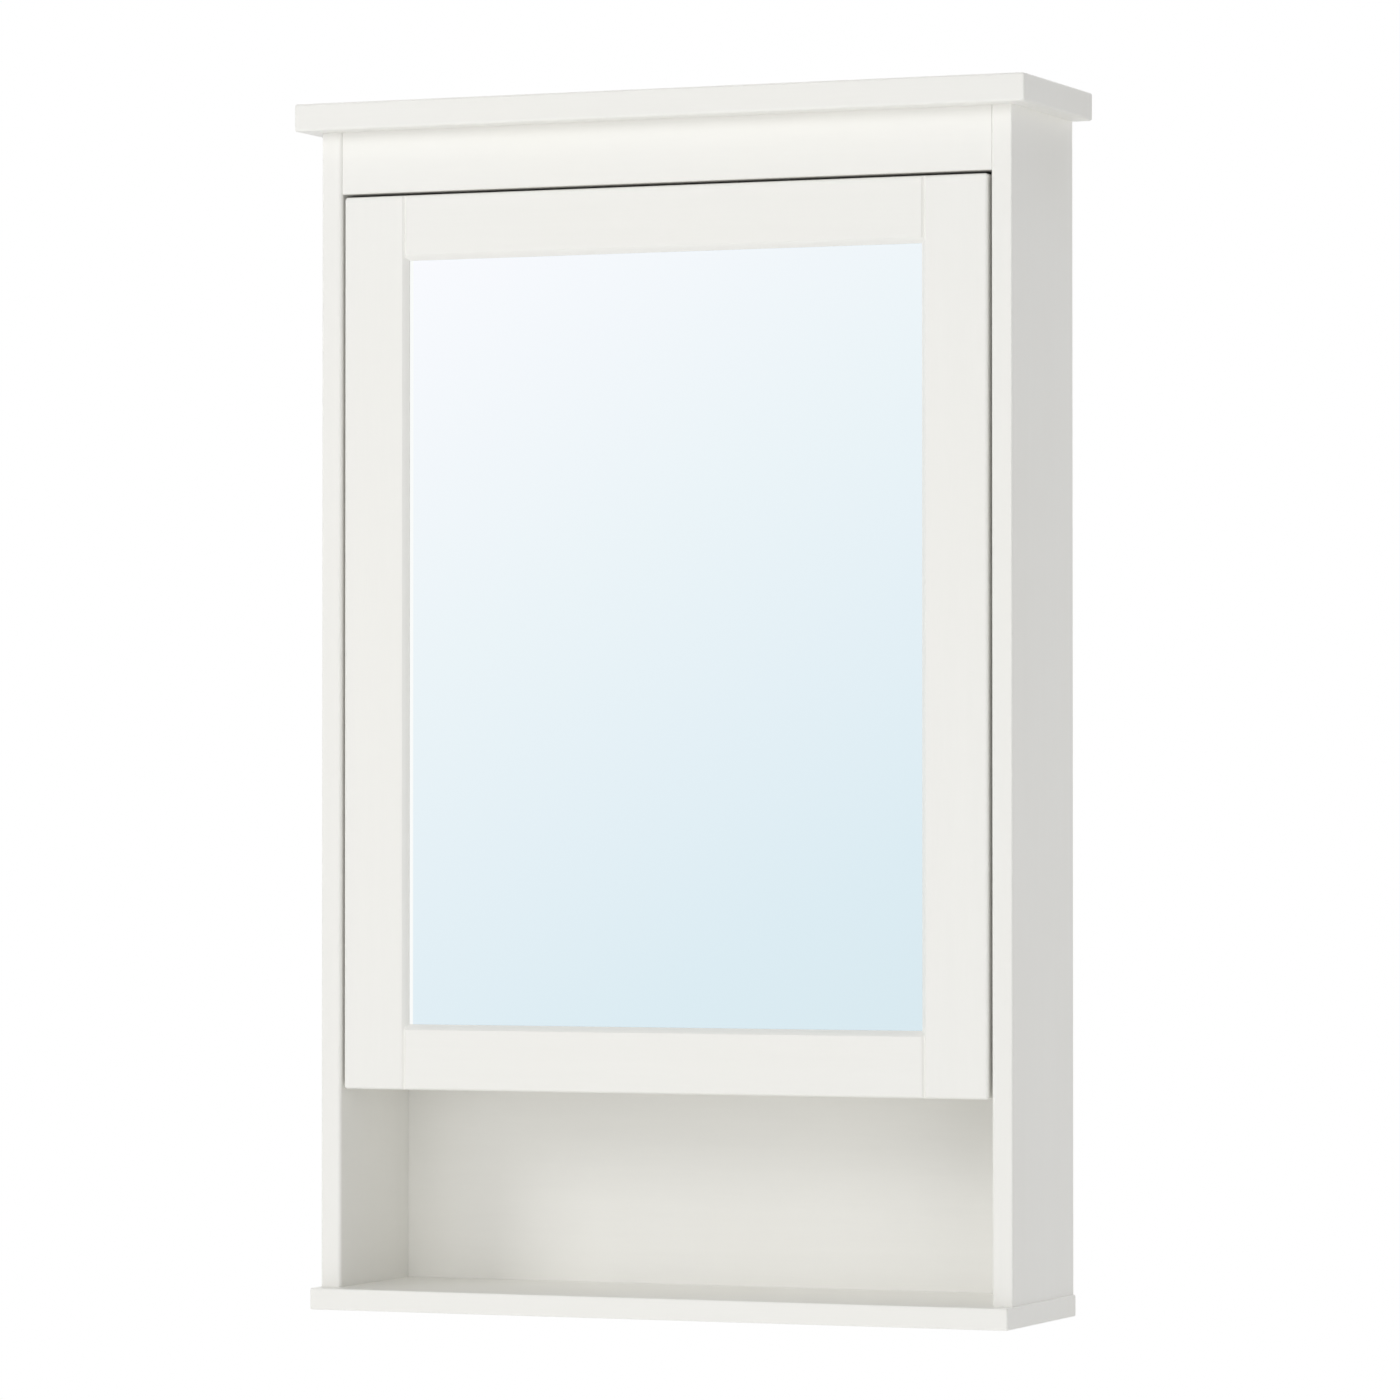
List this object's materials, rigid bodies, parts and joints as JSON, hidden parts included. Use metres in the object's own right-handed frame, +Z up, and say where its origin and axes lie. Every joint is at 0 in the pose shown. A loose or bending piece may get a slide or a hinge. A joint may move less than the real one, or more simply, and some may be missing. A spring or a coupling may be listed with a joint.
{
  "type": "hanging wall cabinet",
  "caption": "White wall cabinet with a mirror door in a framed surround, glass shelves behind it, and an open niche below.",
  "frame": {"origin": "on the wall, midway between the two wall screws, on the rear face of the hanging rail", "axes": "+X to the right as seen from the front, +Y back into the wall along the screws, +Z up"},
  "size_m": [0.63, 0.164, 0.981],
  "materials": {
    "back_panel_paint": "white satin paint on thin board",
    "backing_board": "thin board faced in white",
    "bead_wood": "white satin paint on wood",
    "bumper_rubber": "soft pad",
    "cam_zinc": "cast zinc, matt",
    "carcass_paint": "white satin paint on board",
    "catch_magnet": "dark magnet",
    "catch_plastic": "moulded, white",
    "door_paint": "white satin paint on wood, with a faint grain",
    "dowel_wood": "bare beech",
    "hinge_steel": "nickel-plated pressed steel",
    "mirror_glass": "silvered glass",
    "screw_steel": "zinc-plated",
    "shelf_glass": "clear glass with eased edges",
    "shelf_pin_steel": "nickel-plated"
  },
  "bodies": {
    "carcass": {"back_panel": "back_panel_paint", "back_panel_screws": "screw_steel", "base_screws": "screw_steel", "bottom_board": "carcass_paint", "cam_bolts": "screw_steel", "cam_nuts": "cam_zinc", "carcass_dowels": "dowel_wood", "catch_case": "catch_plastic", "catch_magnet": "catch_magnet", "catch_screws": "screw_steel", "fascia": "carcass_paint", "fixed_shelf": "carcass_paint", "glass_shelf_1": "shelf_glass", "glass_shelf_2": "shelf_glass", "glass_shelf_3": "shelf_glass", "hanging_rail": "carcass_paint", "hinge_lower_arm": "hinge_steel", "hinge_lower_plate": "hinge_steel", "hinge_lower_plate_screws": "screw_steel", "hinge_upper_arm": "hinge_steel", "hinge_upper_plate": "hinge_steel", "hinge_upper_plate_screws": "screw_steel", "shelf_pins_1": "shelf_pin_steel", "shelf_pins_2": "shelf_pin_steel", "shelf_pins_3": "shelf_pin_steel", "side_panel_left": "carcass_paint", "side_panel_right": "carcass_paint", "top_board": "carcass_paint"},
    "door": {"bead_bottom": "bead_wood", "bead_brads": "screw_steel", "bead_left": "bead_wood", "bead_right": "bead_wood", "bead_top": "bead_wood", "catch_plate": "hinge_steel", "door_bumpers": "bumper_rubber", "door_dowels": "dowel_wood", "door_rail_bottom": "door_paint", "door_rail_top": "door_paint", "door_stile_left": "door_paint", "door_stile_right": "door_paint", "hinge_lower_cup": "hinge_steel", "hinge_lower_cup_screws": "screw_steel", "hinge_lower_pin": "hinge_steel", "hinge_upper_cup": "hinge_steel", "hinge_upper_cup_screws": "screw_steel", "hinge_upper_pin": "hinge_steel", "mirror_backing": "backing_board", "mirror_glass": "mirror_glass"}
  },
  "joints": [
    {"name": "door_swing", "type": "hinge", "parent": "carcass", "child": "door", "pos_m": [-0.2603, -0.1353, -0.3866], "axis": [0, 0, -1], "range_deg": [0, 95]}
  ]
}
